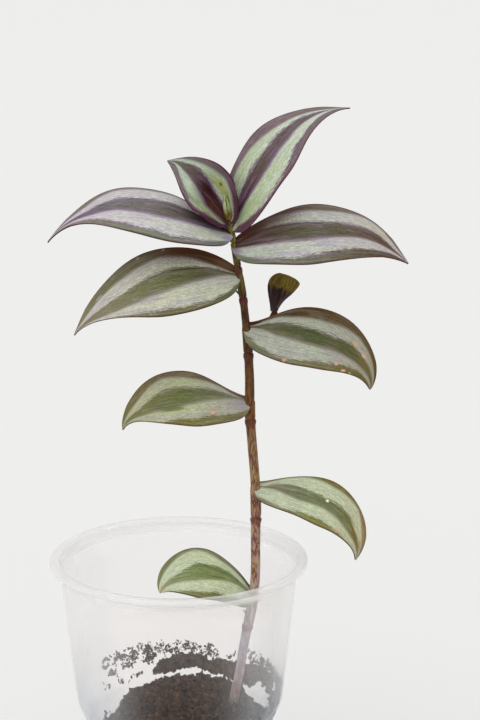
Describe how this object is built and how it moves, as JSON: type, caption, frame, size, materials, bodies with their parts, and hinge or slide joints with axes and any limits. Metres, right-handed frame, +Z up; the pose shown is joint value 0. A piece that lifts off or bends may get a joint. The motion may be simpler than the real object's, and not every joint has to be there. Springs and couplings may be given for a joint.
{
  "type": "potted houseplant",
  "caption": "Upright cutting of a striped trailing houseplant, rooted in potting soil in a clear tapered drinking cup with a rolled rim.",
  "frame": {"origin": "centre of the underside of the cup's base", "axes": "+Z up; the leaves stand in two ranks to +X and -X; -Y is the front, where the upper faces of the leaves look"},
  "size_m": [0.1292, 0.0948, 0.2961],
  "materials": {
    "clear_plastic": "clear, slightly milky",
    "potting_soil": "damp, crumbly",
    "stem_skin": "satin, red-brown",
    "leaf_blade": "satin, striped silver and olive green",
    "young_leaf_blade": "satin, striped silver and purple",
    "young_leaf": "satin, purple-brown"
  },
  "bodies": {
    "root": {"cup": "clear_plastic", "soil": "potting_soil", "soil_crust": "potting_soil", "stem": "stem_skin", "growing_tip": "young_leaf", "leaf_1": "leaf_blade", "leaf_2": "leaf_blade", "leaf_3": "leaf_blade", "leaf_4": "leaf_blade", "leaf_5": "leaf_blade", "leaf_6": "leaf_blade", "leaf_7": "leaf_blade", "leaf_8": "young_leaf_blade", "leaf_9": "young_leaf_blade", "side_shoot_leaf": "young_leaf"}
  },
  "joints": []
}
